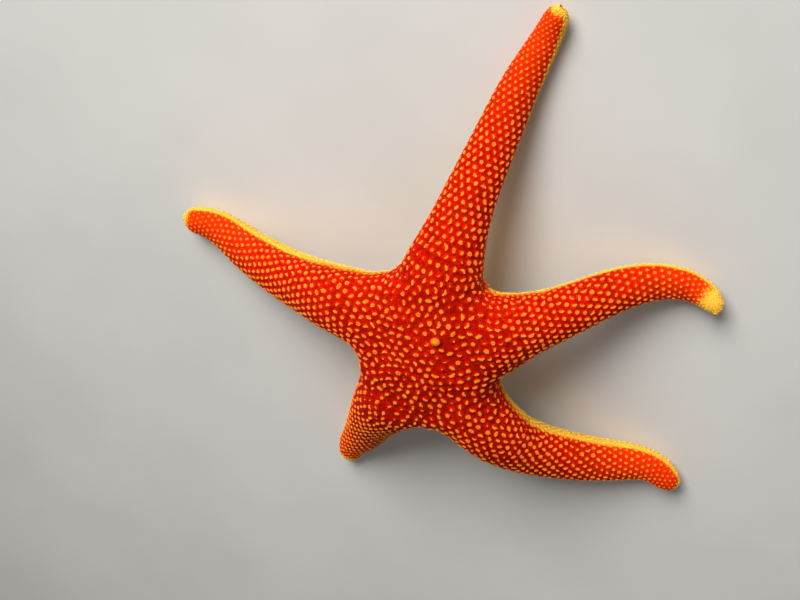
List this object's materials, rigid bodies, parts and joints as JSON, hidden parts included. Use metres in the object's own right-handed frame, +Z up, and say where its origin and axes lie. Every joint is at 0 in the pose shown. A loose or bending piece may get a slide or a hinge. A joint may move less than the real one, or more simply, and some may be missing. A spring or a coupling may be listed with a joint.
{
  "type": "blood star, a small slender-armed sea star",
  "caption": "Life-size still model of a scarlet sea star with cream spots, its disc arched over slender arms that bend down to rest on their pale, curled tips.",
  "frame": {"origin": "the middle of the star's box, on the floor that its arms rest on", "axes": "+Z up; arm 1 points towards +Y and leans to +X, and the other arms follow clockwise from above"},
  "size_m": [0.1037, 0.1041, 0.0223],
  "materials": {
    "scarlet_skin": "wet scarlet flesh under evenly spaced cream tufts of fine spines",
    "pale_spines": "dense cream to yellow limy spines over orange flesh",
    "button": "smooth amber limy plate with fine grooves",
    "mouth_skin": "soft pale orange skin, wet",
    "eyespot": "small glossy red bead"
  },
  "bodies": {
    "root": {"disc": "scarlet_skin", "arm_1_base": "scarlet_skin", "arm_1_middle": "scarlet_skin", "arm_1_outer": "scarlet_skin", "arm_1_tip": "pale_spines", "arm_1_eyespot": "eyespot", "arm_2_base": "scarlet_skin", "arm_2_middle": "scarlet_skin", "arm_2_outer": "scarlet_skin", "arm_2_tip": "pale_spines", "arm_2_eyespot": "eyespot", "arm_3_base": "scarlet_skin", "arm_3_middle": "scarlet_skin", "arm_3_outer": "scarlet_skin", "arm_3_tip": "pale_spines", "arm_3_eyespot": "eyespot", "arm_4_base": "scarlet_skin", "arm_4_middle": "scarlet_skin", "arm_4_outer": "scarlet_skin", "arm_4_tip": "pale_spines", "arm_4_eyespot": "eyespot", "arm_5_base": "scarlet_skin", "arm_5_middle": "scarlet_skin", "arm_5_outer": "scarlet_skin", "arm_5_tip": "pale_spines", "arm_5_eyespot": "eyespot", "madreporite": "button", "mouth": "mouth_skin"}
  },
  "joints": []
}
